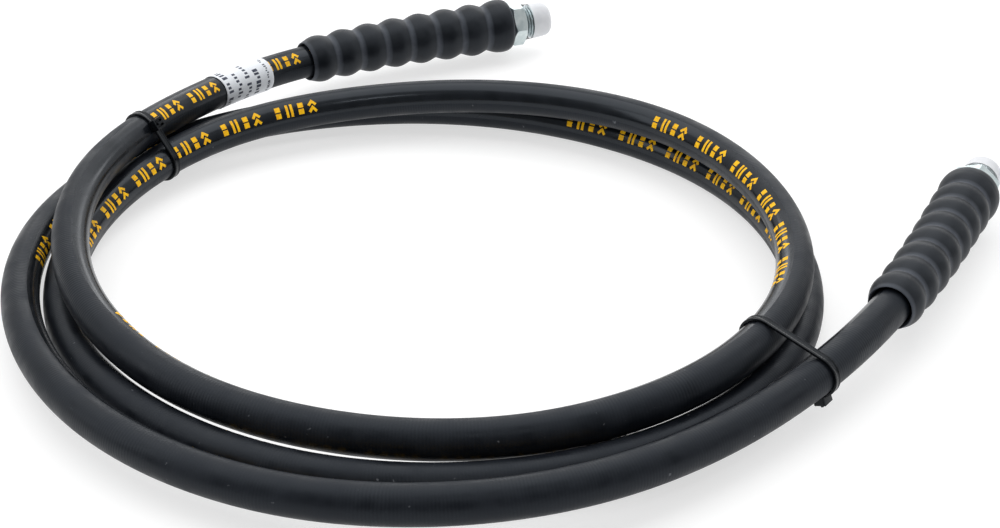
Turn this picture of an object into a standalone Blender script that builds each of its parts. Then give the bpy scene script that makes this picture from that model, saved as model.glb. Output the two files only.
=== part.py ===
"""Coiled hydraulic hose assembly.

A two-wire-braid rubber hose lies in a loose coil of about two and two thirds
turns, held by two cable ties.  Each end has a crimped male pipe fitting, a
ribbed bend guard and a push-on thread cap.  Metres, +Z up, standing on z = 0.
"""
import math

import bmesh
import bpy
import numpy as np
from mathutils import Matrix, Vector

MM = 0.001

# Hose: radii from the bore outwards, with the hair gap kept between layers
HOSE_SIDES = 8
BORE_RADIUS = 3.3 * MM
TUBE_OUTER_RADIUS = 4.5 * MM
BRAID_THICKNESS = 0.5 * MM
SEPARATOR_THICKNESS = 0.3 * MM
COVER_RADIUS = 7.5 * MM
GAP = 0.3 * MM

# Coil: radius and height of the hose's axis at every 30 degrees, end A first
COIL_CENTRE = Vector((-0.035675, -0.028244, -0.00014))
STATION_STEP = math.radians(30)
FIRST_STATION = math.radians(135)
COIL = [
    (160.5, 24.0), (148.0, 28.5), (142.0, 24.5), (136.5, 19.5),
    (136.0, 19.0), (140.5, 20.0), (146.0, 23.0), (145.5, 24.0),
    (139.5, 25.0), (134.5, 24.5), (129.0, 22.5), (131.5, 19.0),
    (140.5, 16.0), (147.0, 11.0), (148.3, 7.9), (148.3, 9.3),
    (150.4, 10.3), (152.4, 10.4), (154.4, 10.3), (150.5, 9.2),
    (145.0, 8.8), (142.0, 7.66), (140.0, 8.4), (145.0, 8.8),
    (157.0, 9.0), (163.0, 11.0), (164.0, 14.0), (167.0, 15.0),
    (169.5, 15.0), (171.0, 17.5), (167.5, 16.0),
]

# Where each bend guard's mouth is, seen from the coil's centre, which way it points, and
# how many degrees the hose turns inside the guard before it reaches the ferrule
END_A = {"mouth": (-66.25, 172.48, 17.8), "heading": 34.1, "slope": -0.8, "bend": -11.5, "hex_turn": 27.0}
END_B = {"mouth": (175.75, -50.91, 18.4), "heading": 58.1, "slope": -0.7, "bend": 5.7, "hex_turn": 10.0}
BEND_LENGTH = 62.0 * MM
BEND_PIECES = 4

# Each end, as distances along its axis from the bend guard's mouth
GUARD_START = 1.0 * MM
GUARD_RIBS = 8
RIB_PITCH = 13.4 * MM
RIB_RADIUS = (11.0 * MM, 13.0 * MM)
GROOVE_RADIUS = (9.2 * MM, 11.0 * MM)
GUARD_HOSE_BORE = 7.85 * MM
GUARD_FITTING_BORE = 10.2 * MM
GUARD_LIP_RADIUS = 9.5 * MM
GUARD_LIP_BORE = 8.6 * MM
GUARD_SIDES = 16
HOSE_END = 97.0 * MM
FERRULE_START = 68.0 * MM
FERRULE_END = 103.0 * MM
FERRULE_RADIUS = 9.6 * MM
FERRULE_WALL = 1.75 * MM
STEM_BORE = 2.2 * MM
STEM_TAIL_RADIUS = 2.7 * MM
STEM_TAIL_START = 70.0 * MM
STEM_NECK_RADIUS = 5.0 * MM
HEX_ACROSS_FLATS = 19.05 * MM
HEX_START = 108.6 * MM
HEX_END = 115.0 * MM
THREAD_END = 127.8 * MM
THREAD_RADIUS = 8.2 * MM
THREAD_NECK_RADIUS = 7.0 * MM
THREAD_TAPER = 1 / 32
CAP_BORE_RADIUS = 8.45 * MM
CAP_WALL = 0.5 * MM
CAP_END = 129.6 * MM
CAP_TAPER = 0.5 * MM

# Cable ties: where round the coil, how far each is turned from square, its slack in
# millimetres, and its strands in order round the band, the head between the first two
TIE_WIDTH = 3.5 * MM
TIE_THICKNESS = 1.0 * MM
TIE_ANCHOR_RADIUS = 155.0 * MM
TIE_HEAD_LENGTH = 5.0 * MM
TIE_HEAD_WIDTH = 5.4 * MM
TIE_HEAD_HEIGHT = 4.2 * MM
TIES = {
    "cable_tie_left": {"angle": 147.3, "turn": -3.0, "slack": 0.6, "strands": (0, 1, 2)},
    "cable_tie_right": {"angle": 327.0, "turn": 4.0, "slack": 0.6, "strands": (2, 1, 0)},
}

# Paper label, as distances along the hose from end A's guard mouth
LABEL_START = 24.0 * MM
LABEL_END = 57.0 * MM
LABEL_THICKNESS = 0.25 * MM

COLOURS = {
    "tube_rubber": ((0.015, 0.015, 0.015), 0.6, 0.0),
    "braid_wire": ((0.55, 0.48, 0.34), 0.35, 1.0),
    "cover_rubber": ((0.030, 0.032, 0.036), 0.5, 0.0),
    "guard_rubber": ((0.026, 0.027, 0.030), 0.6, 0.0),
    "zinc_steel": ((0.62, 0.64, 0.65), 0.3, 1.0),
    "cap_plastic": ((0.82, 0.86, 0.88), 0.35, 0.0),
    "tie_nylon": ((0.020, 0.021, 0.024), 0.4, 0.0),
    "label_paper": ((0.80, 0.81, 0.83), 0.6, 0.0),
}


# ---------------------------------------------------------------- scene helpers

def clear_scene():
    for thing in list(bpy.data.objects):
        bpy.data.objects.remove(thing, do_unlink=True)


def make_material(name):
    colour, roughness, metallic = COLOURS[name]
    material = bpy.data.materials.new(name)
    material.use_nodes = True
    shader = material.node_tree.nodes["Principled BSDF"]
    shader.inputs["Base Color"].default_value = (*colour, 1.0)
    shader.inputs["Roughness"].default_value = roughness
    shader.inputs["Metallic"].default_value = metallic
    material.diffuse_color = (*colour, 1.0)
    return material


def skin(name, rings, material, closed=True, place=None):
    """A closed solid through rings of points: a loop of rings, or a chain with two end faces."""
    shape = bmesh.new()
    loops = [[shape.verts.new(point) for point in ring] for ring in rings]
    count = len(loops[0])
    pairs = list(zip(loops, loops[1:]))
    if closed:
        pairs.append((loops[-1], loops[0]))
    for first, second in pairs:
        for side in range(count):
            after = (side + 1) % count
            shape.faces.new((first[side], first[after], second[after], second[side]))
    if not closed:
        shape.faces.new(loops[0])
        shape.faces.new(loops[-1])
    bmesh.ops.recalc_face_normals(shape, faces=shape.faces)
    mesh = bpy.data.meshes.new(name)
    shape.to_mesh(mesh)
    shape.free()
    mesh.materials.append(material)
    thing = bpy.data.objects.new(name, mesh)
    if place is not None:
        thing.matrix_world = place
    bpy.context.scene.collection.objects.link(thing)
    return thing


# ---------------------------------------------------------------- the hose's route

def heading_vector(heading, slope):
    level = math.cos(slope)
    return Vector((level * math.cos(heading), level * math.sin(heading), math.sin(slope)))


def direction(end, distance=0.0):
    """Unit vector out along an end, away from the coil, this far from the guard's mouth."""
    share = min(distance / BEND_LENGTH, 1.0)
    return heading_vector(math.radians(end["heading"] + end["bend"] * share), math.radians(end["slope"]))


def mouth(end):
    return COIL_CENTRE + Vector(end["mouth"]) * MM


def axis_point(end, distance):
    """A point on an end's axis: an arc inside the guard, then straight through the fitting."""
    bent = min(distance, BEND_LENGTH)
    half_turn = math.radians(end["bend"]) * bent / BEND_LENGTH / 2
    shortening = math.sin(half_turn) / half_turn if half_turn else 1.0
    middle = heading_vector(math.radians(end["heading"]) + half_turn, math.radians(end["slope"]))
    chord = Vector((middle.x * shortening, middle.y * shortening, middle.z)) * bent
    return mouth(end) + chord + direction(end, distance) * (distance - bent)


def bend_distances():
    """Distances from the mouth at which the bent part of an end is divided."""
    return [BEND_LENGTH * (piece + 1) / BEND_PIECES for piece in range(BEND_PIECES)]


def coil_stations():
    points = []
    for index, (radius, height) in enumerate(COIL):
        angle = FIRST_STATION + index * STATION_STEP
        arm = Vector((radius * math.cos(angle), radius * math.sin(angle), height))
        points.append(COIL_CENTRE + arm * MM)
    return points


def smooth_curve(points, start, finish, steps):
    """Cubic spline through points with given end directions, steps points to a span."""
    knots = np.array([list(point) for point in points])
    spans = np.linalg.norm(np.diff(knots, axis=0), axis=1)
    count = len(knots)
    system = np.eye(count)
    slopes = np.zeros((count, 3))
    slopes[0] = start
    slopes[-1] = finish
    for i in range(1, count - 1):
        before, after = spans[i - 1], spans[i]
        system[i, i - 1:i + 2] = after, 2 * (before + after), before
        slopes[i] = 3 * (after * (knots[i] - knots[i - 1]) / before
                         + before * (knots[i + 1] - knots[i]) / after)
    slopes = np.linalg.solve(system, slopes)
    curve = []
    for i in range(count - 1):
        for t in np.arange(steps) / steps:
            value = ((2 * t**3 - 3 * t**2 + 1) * knots[i]
                     + (t**3 - 2 * t**2 + t) * spans[i] * slopes[i]
                     + (3 * t**2 - 2 * t**3) * knots[i + 1]
                     + (t**3 - t**2) * spans[i] * slopes[i + 1])
            curve.append(Vector(value))
    curve.append(Vector(knots[-1]))
    return curve


def free_route(steps):
    """The hose's axis from one guard's mouth to the other's."""
    points = [mouth(END_A)] + coil_stations() + [mouth(END_B)]
    return smooth_curve(points, -direction(END_A), direction(END_B), steps)


def hose_route():
    """The whole axis, with the bent and straight parts inside the guards and ferrules."""
    inside = bend_distances() + [HOSE_END]
    first = [axis_point(END_A, distance) for distance in reversed(inside)]
    last = [axis_point(END_B, distance) for distance in inside]
    return first + free_route(2) + last


def piece_of_route(route, start, finish):
    """The stretch of a route between two distances along it."""
    piece = []
    travelled = 0.0
    for here, there in zip(route, route[1:]):
        length = (there - here).length
        if travelled <= start < travelled + length:
            piece.append(here.lerp(there, (start - travelled) / length))
        if start < travelled + length < finish:
            piece.append(there)
        if travelled < finish <= travelled + length:
            piece.append(here.lerp(there, (finish - travelled) / length))
        travelled += length
    return piece


def rings_along(path, radius, sides):
    """One ring of points at each path point, square to the path, a corner always on top."""
    rings = []
    last = len(path) - 1
    for i, point in enumerate(path):
        along = (path[min(i + 1, last)] - path[i]).normalized() if i < last else Vector()
        along += (path[i] - path[i - 1]).normalized() if i > 0 else Vector()
        along.normalize()
        across = along.cross(Vector((0, 0, 1))).normalized()
        upward = across.cross(along)
        ring = []
        for side in range(sides):
            turn = 2 * math.pi * side / sides
            ring.append(point + radius * (math.cos(turn) * upward + math.sin(turn) * across))
        rings.append(ring)
    return rings


def pipe(name, path, inner, outer, material, sides=HOSE_SIDES):
    walls = rings_along(path, outer, sides) + rings_along(path, inner, sides)[::-1]
    return skin(name, walls, material)


# ---------------------------------------------------------------- turned parts

def axis_frame(end, distance):
    """Local +X along the axis at a distance, set back so that local x is that distance there."""
    forward = direction(end, distance)
    sideways = Vector((0, 0, 1)).cross(forward).normalized()
    upward = forward.cross(sideways)
    axes = Matrix((forward, sideways, upward)).transposed().to_4x4()
    return Matrix.Translation(axis_point(end, distance) - forward * distance) @ axes


def end_frame(end):
    """The frame of the straight part: local x is the distance from the guard's mouth."""
    return axis_frame(end, HOSE_END)


def circle(x, radius, sides):
    ring = []
    for side in range(sides):
        turn = 2 * math.pi * side / sides
        ring.append(Vector((x, radius * math.cos(turn), radius * math.sin(turn))))
    return ring


def hexagon(x, across_flats, corner_limit, sides):
    """A hexagon drawn with extra points on its flats, its corners cut back to a circle."""
    ring = []
    for side in range(sides):
        turn = 2 * math.pi * side / sides
        off_flat = (turn + math.pi / 2) % (math.pi / 3) - math.pi / 6
        radius = min(across_flats / 2 / math.cos(off_flat), corner_limit)
        ring.append(Vector((x, radius * math.cos(turn), radius * math.sin(turn))))
    return ring


def turned_about_axis(end):
    """The end's frame, turned about its own axis so that the hexagon sits as it was screwed up."""
    return end_frame(end) @ Matrix.Rotation(math.radians(end["hex_turn"]), 4, "X")


def shifted(outline, distance):
    return [(x - distance, radius) for x, radius in outline]


def turned(name, outline, sides, material, place, closed=True):
    rings = [circle(x, radius, sides) for x, radius in outline]
    return skin(name, rings, material, closed, place)


def bend_guard(name, end, material):
    """A ribbed sleeve that follows the hose's bend."""
    outer = []
    steps = 4
    for i in range(GUARD_RIBS * steps + 1):
        share = i / (GUARD_RIBS * steps)
        swell = (0.5 - 0.5 * math.cos(2 * math.pi * i / steps)) ** 0.62
        groove = GROOVE_RADIUS[0] + (GROOVE_RADIUS[1] - GROOVE_RADIUS[0]) * share
        rib = RIB_RADIUS[0] + (RIB_RADIUS[1] - RIB_RADIUS[0]) * share
        radius = groove + (rib - groove) * swell
        outer.append((GUARD_START + GUARD_RIBS * RIB_PITCH * share, radius))
    finish = outer[-1][0]
    outer[-1] = (finish, GUARD_LIP_RADIUS)
    inner = [
        (finish, GUARD_LIP_BORE),
        (FERRULE_END + 1.2 * MM, GUARD_LIP_BORE),
        (FERRULE_END + 0.4 * MM, GUARD_FITTING_BORE),
        (FERRULE_START - 1.0 * MM, GUARD_FITTING_BORE),
        (FERRULE_START - 3.5 * MM, GUARD_HOSE_BORE),
    ]
    inner += [(distance, GUARD_HOSE_BORE) for distance in reversed(bend_distances())]
    inner.append((GUARD_START, GUARD_HOSE_BORE))
    rings = []
    for distance, radius in outer + inner:
        frame = axis_frame(end, distance)
        rings.append([frame @ point for point in circle(distance, radius, GUARD_SIDES)])
    return skin(name, rings, material)


def crimp_ferrule(name, place, material):
    bore = FERRULE_RADIUS - FERRULE_WALL
    edge = 0.6 * MM
    outline = [
        (FERRULE_START, FERRULE_RADIUS - edge),
        (FERRULE_START + edge, FERRULE_RADIUS),
        (FERRULE_END - edge, FERRULE_RADIUS),
        (FERRULE_END, FERRULE_RADIUS - edge),
        (FERRULE_END, STEM_NECK_RADIUS + GAP),
        (HOSE_END + 2 * GAP, STEM_NECK_RADIUS + GAP),
        (HOSE_END + 2 * GAP, bore),
        (FERRULE_START, bore),
    ]
    return turned(name, outline, 16, material, place)


def hose_stem(name, place, material):
    """Barbed tail, locking neck, hexagon and tapered male thread in one turned piece."""
    sides = 24
    rings = []
    barbs = 5
    barb_pitch = 4.6 * MM
    rings.append(circle(STEM_TAIL_START, STEM_TAIL_RADIUS - 0.35 * MM, sides))
    for barb in range(barbs):
        x = STEM_TAIL_START + 1.0 * MM + barb * barb_pitch
        rings.append(circle(x, STEM_TAIL_RADIUS, sides))
        rings.append(circle(x + 0.6 * MM, STEM_TAIL_RADIUS - 0.3 * MM, sides))
    neck_start = HOSE_END + GAP
    rings.append(circle(neck_start, STEM_TAIL_RADIUS, sides))
    rings.append(circle(neck_start + 1.0 * MM, STEM_NECK_RADIUS, sides))
    rings.append(circle(FERRULE_END + GAP, STEM_NECK_RADIUS, sides))
    rings.append(circle(FERRULE_END + GAP, 7.6 * MM, sides))
    rings.append(circle(HEX_START - 0.6 * MM, 7.6 * MM, sides))
    corner = HEX_ACROSS_FLATS / 2 / math.cos(math.pi / 6)
    rings.append(hexagon(HEX_START, HEX_ACROSS_FLATS, corner - 0.8 * MM, sides))
    rings.append(hexagon(HEX_START + 0.7 * MM, HEX_ACROSS_FLATS, corner, sides))
    rings.append(hexagon(HEX_END - 0.7 * MM, HEX_ACROSS_FLATS, corner, sides))
    rings.append(hexagon(HEX_END, HEX_ACROSS_FLATS, corner - 0.8 * MM, sides))
    rings.append(circle(HEX_END, THREAD_NECK_RADIUS, sides))
    rings.append(circle(HEX_END + 0.8 * MM, THREAD_NECK_RADIUS, sides))
    rings.append(circle(HEX_END + 1.8 * MM, THREAD_RADIUS, sides))
    small_end = THREAD_RADIUS - (THREAD_END - HEX_END) * THREAD_TAPER
    rings.append(circle(THREAD_END - 1.0 * MM, small_end, sides))
    rings.append(circle(THREAD_END, small_end - 1.0 * MM, sides))
    rings.append(circle(THREAD_END, STEM_BORE, sides))
    rings.append(circle(STEM_TAIL_START, STEM_BORE, sides))
    return skin(name, rings, material, True, place)


def thread_cap(name, end, material):
    """A thin cup over the thread; its origin is on its pull-off axis at its mouth."""
    start = HEX_END + 0.5 * MM
    outer = CAP_BORE_RADIUS + CAP_WALL
    outline = [
        (CAP_END - CAP_WALL, CAP_BORE_RADIUS - CAP_TAPER - 0.6 * MM),
        (CAP_END - CAP_WALL - 1.0 * MM, CAP_BORE_RADIUS - CAP_TAPER),
        (start, CAP_BORE_RADIUS),
        (start, outer),
        (CAP_END - 2.4 * MM, outer - CAP_TAPER),
        (CAP_END - 0.8 * MM, outer - CAP_TAPER - 0.5 * MM),
        (CAP_END, outer - CAP_TAPER - 1.6 * MM),
    ]
    place = end_frame(end) @ Matrix.Translation((start, 0, 0))
    return turned(name, shifted(outline, start), 20, material, place, closed=False)


# ---------------------------------------------------------------- cable ties

def tie_plane(plan):
    """A point on the tie's upright plane, its level direction and its normal."""
    angle = math.radians(plan["angle"])
    anchor = COIL_CENTRE + Vector((math.cos(angle), math.sin(angle), 0)) * TIE_ANCHOR_RADIUS
    turned_to = angle - math.radians(plan["turn"])
    level = Vector((math.cos(turned_to), math.sin(turned_to), 0))
    normal = Vector((-math.sin(turned_to), math.cos(turned_to), 0))
    return anchor, level, normal


def crossings(route, plane):
    """Where the route crosses a tie's plane near its anchor, as (level, up) pairs."""
    anchor, level, normal = plane
    found = []
    for here, there in zip(route, route[1:]):
        a = (here - anchor).dot(normal)
        b = (there - anchor).dot(normal)
        point = here.lerp(there, a / (a - b)) if a * b <= 0 and a != b else None
        if point is not None and (point - anchor).length < 60 * MM:
            found.append(Vector(((point - anchor).dot(level), point.z)))
    return found


def tangent_normals(centres):
    """Outward normals of the taut band's straight runs between circles of one size."""
    middle = sum(centres, Vector((0, 0))) / len(centres)
    normals = []
    for here, there in zip(centres, centres[1:] + centres[:1]):
        run = (there - here).normalized()
        normal = Vector((run.y, -run.x))
        if normal.dot((here + there) / 2 - middle) < 0:
            normal = -normal
        normals.append(normal)
    return normals


def arc_points(centre, radius, first, second):
    """Points on a circle from one normal round to the next, by the short way."""
    start = math.atan2(first.y, first.x)
    sweep = (math.atan2(second.y, second.x) - start + math.pi) % (2 * math.pi) - math.pi
    steps = math.ceil(abs(sweep) / math.radians(18))
    points = []
    for i in range(steps + 1):
        turn = start + sweep * i / steps
        points.append((centre, Vector((math.cos(turn), math.sin(turn))), radius))
    return points


def tie_stations(centres, radius):
    """Points on the band's inner face as (place, outward normal, is it the head)."""
    normals = tangent_normals(centres)
    run = (centres[1] - centres[0]).normalized()
    head_start = centres[0] + normals[0] * radius + run * 0.3 * MM
    head_end = head_start + run * TIE_HEAD_LENGTH
    stations = [(head_start, normals[0], False), (head_start, normals[0], True),
                (head_end, normals[0], True), (head_end, normals[0], False)]
    for i in range(1, len(centres) + 1):
        centre = centres[i % len(centres)]
        for hub, normal, reach in arc_points(centre, radius, normals[i - 1], normals[i % len(centres)]):
            stations.append((hub + normal * reach, normal, False))
    return stations


def cable_tie(name, plan, route, material):
    plane = tie_plane(plan)
    anchor, level, normal = plane
    found = crossings(route, plane)
    centres = [found[strand] for strand in plan["strands"]]
    rings = []
    for spot, away, is_head in tie_stations(centres, COVER_RADIUS + plan["slack"] * MM):
        half = (TIE_HEAD_WIDTH if is_head else TIE_WIDTH) / 2
        depth = TIE_HEAD_HEIGHT if is_head else TIE_THICKNESS
        ring = []
        for side, lift in ((-half, 0), (half, 0), (half, depth), (-half, depth)):
            flat = spot + away * lift
            point = anchor + level * flat.x + normal * side
            ring.append(Vector((point.x, point.y, flat.y)))
        rings.append(ring)
    return skin(name, rings, material)


# ---------------------------------------------------------------- assembly

def hose_layers(route, materials):
    """Inner tube, braid, separator, braid and cover, each a closed pipe of its own."""
    radius = TUBE_OUTER_RADIUS
    pipe("hose_inner_tube", route, BORE_RADIUS, radius, materials["tube_rubber"])
    radius += GAP
    pipe("wire_braid_inner", route, radius, radius + BRAID_THICKNESS, materials["braid_wire"])
    radius += BRAID_THICKNESS + GAP
    pipe("braid_separator", route, radius, radius + SEPARATOR_THICKNESS, materials["tube_rubber"])
    radius += SEPARATOR_THICKNESS + GAP
    pipe("wire_braid_outer", route, radius, radius + BRAID_THICKNESS, materials["braid_wire"])
    radius += BRAID_THICKNESS + GAP
    pipe("hose_cover", route, radius, COVER_RADIUS, materials["cover_rubber"])


def hose_end(letter, end, materials):
    place = end_frame(end)
    hose_stem("fitting_" + letter, turned_about_axis(end), materials["zinc_steel"])
    crimp_ferrule("crimp_ferrule_" + letter, place, materials["zinc_steel"])
    bend_guard("bend_guard_" + letter, end, materials["guard_rubber"])
    thread_cap("thread_cap_" + letter, end, materials["cap_plastic"])


def paper_label(route, material):
    """The label is wound on the hose as a thin sleeve."""
    path = piece_of_route(route, HOSE_END + LABEL_START, HOSE_END + LABEL_END)
    inner = COVER_RADIUS + GAP
    pipe("paper_label", path, inner, inner + LABEL_THICKNESS, material)


def build():
    clear_scene()
    materials = {name: make_material(name) for name in COLOURS}
    route = hose_route()
    hose_layers(route, materials)
    hose_end("a", END_A, materials)
    hose_end("b", END_B, materials)
    for name, plan in TIES.items():
        cable_tie(name, plan, route, materials["tie_nylon"])
    paper_label(route, materials["label_paper"])


build()
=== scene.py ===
"""Coiled hydraulic hose: its looks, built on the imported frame.  Metres, +Z up."""
import math

import bmesh
import bpy
import numpy as np
from mathutils import Matrix, Vector


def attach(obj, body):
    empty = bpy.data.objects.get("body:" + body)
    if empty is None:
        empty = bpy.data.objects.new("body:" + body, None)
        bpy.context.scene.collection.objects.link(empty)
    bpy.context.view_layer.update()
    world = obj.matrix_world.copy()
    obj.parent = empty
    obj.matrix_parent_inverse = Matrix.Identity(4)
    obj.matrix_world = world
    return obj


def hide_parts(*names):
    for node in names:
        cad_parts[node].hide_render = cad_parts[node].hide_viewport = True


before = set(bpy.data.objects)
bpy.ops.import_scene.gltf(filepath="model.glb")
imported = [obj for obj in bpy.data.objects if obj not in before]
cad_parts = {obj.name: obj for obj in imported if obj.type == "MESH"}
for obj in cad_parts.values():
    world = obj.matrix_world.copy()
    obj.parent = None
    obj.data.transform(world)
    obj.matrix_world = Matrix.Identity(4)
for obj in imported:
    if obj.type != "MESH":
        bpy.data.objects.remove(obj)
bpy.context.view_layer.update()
MM = 0.001
HOSE_BODY = "hose"

# ---------------------------------------------------------------- sizes shared with the CAD

COIL_CENTRE = np.array([-0.035675, -0.028244, -0.00014])
# The axis at every 30 degrees round the centre from 135 degrees on: (radius, height), millimetres.
# No rule makes these numbers.  A separate program fitted the coil and both ends to points read off
# the photo, and the results were rounded and partly changed by hand.
COIL = [
    (160.5, 24.0), (148.0, 28.5), (142.0, 24.5), (136.5, 19.5),
    (136.0, 19.0), (140.5, 20.0), (146.0, 23.0), (145.5, 24.0),
    (139.5, 25.0), (134.5, 24.5), (129.0, 22.5), (131.5, 19.0),
    (140.5, 16.0), (147.0, 11.0), (148.3, 7.9), (148.3, 9.3),
    (150.4, 10.3), (152.4, 10.4), (154.4, 10.3), (150.5, 9.2),
    (145.0, 8.8), (142.0, 7.66), (140.0, 8.4), (145.0, 8.8),
    (157.0, 9.0), (163.0, 11.0), (164.0, 14.0), (167.0, 15.0),
    (169.5, 15.0), (171.0, 17.5), (167.5, 16.0),
]
# Each end: its guard's mouth in millimetres from the centre, and its turns and slope in degrees.
END_A = {"mouth": (-66.25, 172.48, 17.8), "heading": 34.1, "slope": -0.8, "bend": -11.5, "hex_turn": 27.0}
END_B = {"mouth": (175.75, -50.91, 18.4), "heading": 58.1, "slope": -0.7, "bend": 5.7, "hex_turn": 10.0}
BEND_LENGTH = 62.0 * MM
HOSE_RADIUS = 7.5 * MM
HOSE_END = 97.0 * MM
HEX_START, HEX_END, HEX_FLATS = 108.6 * MM, 115.0 * MM, 19.05 * MM
THREAD_END, THREAD_RADIUS = 127.8 * MM, 8.2 * MM
GUARD_START, GUARD_PITCH, GUARD_RIBS = 1.0 * MM, 13.4 * MM, 8
LABEL_LOW, LABEL_HIGH = 24.0 * MM, 57.0 * MM

# ---------------------------------------------------------------- sizes that only the looks have

# The smooth band: half its width in degrees, and where its middle lies, as
# (metres along from guard A's mouth, degrees from the top towards the coil's centre).  These and
# PRINT_STARTS were fitted in the same way, to the print in the photo.
BAND_HALF = 39.0
BAND_SINK = 0.04 * MM
BAND_TURNS = [
    (-0.10, 44), (0.0, 42), (0.10, 38), (0.20, 46), (0.285, 53), (0.325, 70), (0.42, 72),
    (0.50, 60), (0.59, 42), (0.745, 57), (0.909, 49), (1.06, 57), (1.15, 63), (1.40, 63),
    (1.52, 55), (1.706, 52), (1.90, 58), (2.05, 65), (2.40, 66), (2.60, 66),
]
COVER_BORE = 6.5 * MM
THREAD_PITCH = 25.4 / 18 * MM
CLOTH_RIB = 1.25 * MM
WIRE_PITCH = 0.9 * MM
# Every turned shape is mapped to this much of the material, in metres, once round.
ROUND_UV = 0.06

# The print: where each row starts, in metres along, and one pattern of plain marks over and over.
PRINT_STARTS = (-0.050, 0.270, 0.587, 0.910, 1.230, 1.550, 1.870, 2.190)
PRINT_GROUP = ["chevrons", "blocks", "bars", "blocks"]
PRINT_GROUP_COUNT = 6
MARK_PITCH = 5.6 * MM
GROUP_GAP = 5.1 * MM
MARK_SINK = 0.008 * MM
MARK_CELL = 0.9
PRINT_IN_GUARD = 12.0 * MM

# The label, in degrees round the hose: where the paper starts, how far it winds and from where it
# lies over its own start.  LABEL_ROUND is the wound length.
LABEL_FIRST, LABEL_SWEEP, LABEL_LAP = 150, 378, 510
LABEL_ROUND = 52.0 * MM


# ---------------------------------------------------------------- the hose's route

def unit(v):
    return v / np.linalg.norm(v)


def heading_vector(heading, slope):
    level = math.cos(slope)
    return np.array([math.cos(heading) * level, math.sin(heading) * level, math.sin(slope)])


def direction(end, distance=0.0):
    """The way along an end, this far from its guard's mouth."""
    share = min(distance / BEND_LENGTH, 1.0)
    return heading_vector(math.radians(end["heading"] + end["bend"] * share), math.radians(end["slope"]))


def mouth(end):
    return COIL_CENTRE + np.array(end["mouth"]) * MM


def axis_point(end, distance):
    """A point on an end's axis: an arc inside the guard, then straight through the fitting."""
    bent = min(distance, BEND_LENGTH)
    half_turn = math.radians(end["bend"]) * bent / BEND_LENGTH / 2
    shortening = math.sin(half_turn) / half_turn if half_turn else 1.0
    chord = heading_vector(math.radians(end["heading"]) + half_turn, math.radians(end["slope"])) * bent
    chord *= (shortening, shortening, 1.0)
    return mouth(end) + chord + direction(end, distance) * (distance - bent)


def smooth_curve(knots, start, finish, steps):
    """Cubic spline through the knots with given end directions."""
    spans = np.linalg.norm(np.diff(knots, axis=0), axis=1)
    count = len(knots)
    system, slopes = np.eye(count), np.zeros((count, 3))
    slopes[0], slopes[-1] = start, finish
    for i in range(1, count - 1):
        before, after = spans[i - 1], spans[i]
        system[i, i - 1:i + 2] = after, 2 * (before + after), before
        behind, ahead = knots[i] - knots[i - 1], knots[i + 1] - knots[i]
        slopes[i] = 3 * (after * behind / before + before * ahead / after)
    slopes = np.linalg.solve(system, slopes)
    curve = []
    for i in range(count - 1):
        for t in np.arange(steps) / steps:
            curve.append((2 * t**3 - 3 * t**2 + 1) * knots[i] + (t**3 - 2 * t**2 + t) * spans[i] * slopes[i]
                         + (3 * t**2 - 2 * t**3) * knots[i + 1] + (t**3 - t**2) * spans[i] * slopes[i + 1])
    return np.array(curve + [knots[-1]])


def free_route(steps):
    """The hose's axis between the two guards' mouths, through a station every 30 degrees."""
    knots = [mouth(END_A)]
    for index, (radius, height) in enumerate(COIL):
        angle = math.radians(135 + 30 * index)
        station = np.array([radius * math.cos(angle), radius * math.sin(angle), height])
        knots.append(COIL_CENTRE + station * MM)
    knots.append(mouth(END_B))
    return smooth_curve(np.array(knots), -direction(END_A), direction(END_B), steps)


def whole_route(steps):
    """The axis from one end of the hose to the other, and each point's distance from guard A's mouth."""
    inside = np.linspace(HOSE_END, 0.0, 25)[:-1]
    before = [axis_point(END_A, distance) for distance in inside]
    after = [axis_point(END_B, distance) for distance in inside[::-1]]
    path = np.array(before + list(free_route(steps)) + after)
    along = np.concatenate([[0], np.cumsum(np.linalg.norm(np.diff(path, axis=0), axis=1))]) - HOSE_END
    return path, along


def route_frames(path):
    """For each point: the way along, up square to it, and inwards to the coil's centre."""
    along = np.gradient(path, axis=0)
    along /= np.linalg.norm(along, axis=1)[:, None]
    outward = np.cross(along, [0, 0, 1.0])
    outward /= np.linalg.norm(outward, axis=1)[:, None]
    return along, np.cross(outward, along), -outward


def band_angle(distance):
    """Where the smooth printed band lies, in degrees from the top towards the coil's centre."""
    places, turns = zip(*BAND_TURNS)
    near = [np.interp(distance + step * 0.008, places, turns) for step in range(-5, 6)]
    return sum(near) / len(near)


class Surface:
    """Turns (distance along, degrees round from the band's middle, radius) into places on the hose."""

    def __init__(self):
        self.path, self.along = whole_route(48)
        _, self.up, self.inward = route_frames(self.path)

    def at(self, distance, angle, radius, from_band=True):
        point = np.array([np.interp(distance, self.along, self.path[:, i]) for i in range(3)])
        up = unit(np.array([np.interp(distance, self.along, self.up[:, i]) for i in range(3)]))
        inward = unit(np.array([np.interp(distance, self.along, self.inward[:, i]) for i in range(3)]))
        turn = math.radians(angle + (band_angle(distance) if from_band else 0))
        return point + radius * (math.cos(turn) * up + math.sin(turn) * inward)


SURFACE = Surface()


# ---------------------------------------------------------------- mesh helpers

def link_mesh(name, vertices, faces, materials, face_slots=None, smooth=True, uvs=None):
    mesh = bpy.data.meshes.new(name)
    mesh.from_pydata([tuple(v) for v in vertices], [], faces)
    for material in materials:
        mesh.materials.append(material)
    if face_slots is not None:
        mesh.polygons.foreach_set("material_index", face_slots)
    if uvs is not None:
        layer = mesh.uv_layers.new(name="Surface")
        layer.data.foreach_set("uv", np.array(uvs, dtype=np.float32).ravel())
    if smooth:
        mesh.shade_smooth()
    mesh.update()
    thing = bpy.data.objects.new(name, mesh)
    bpy.context.scene.collection.objects.link(thing)
    return thing


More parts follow.
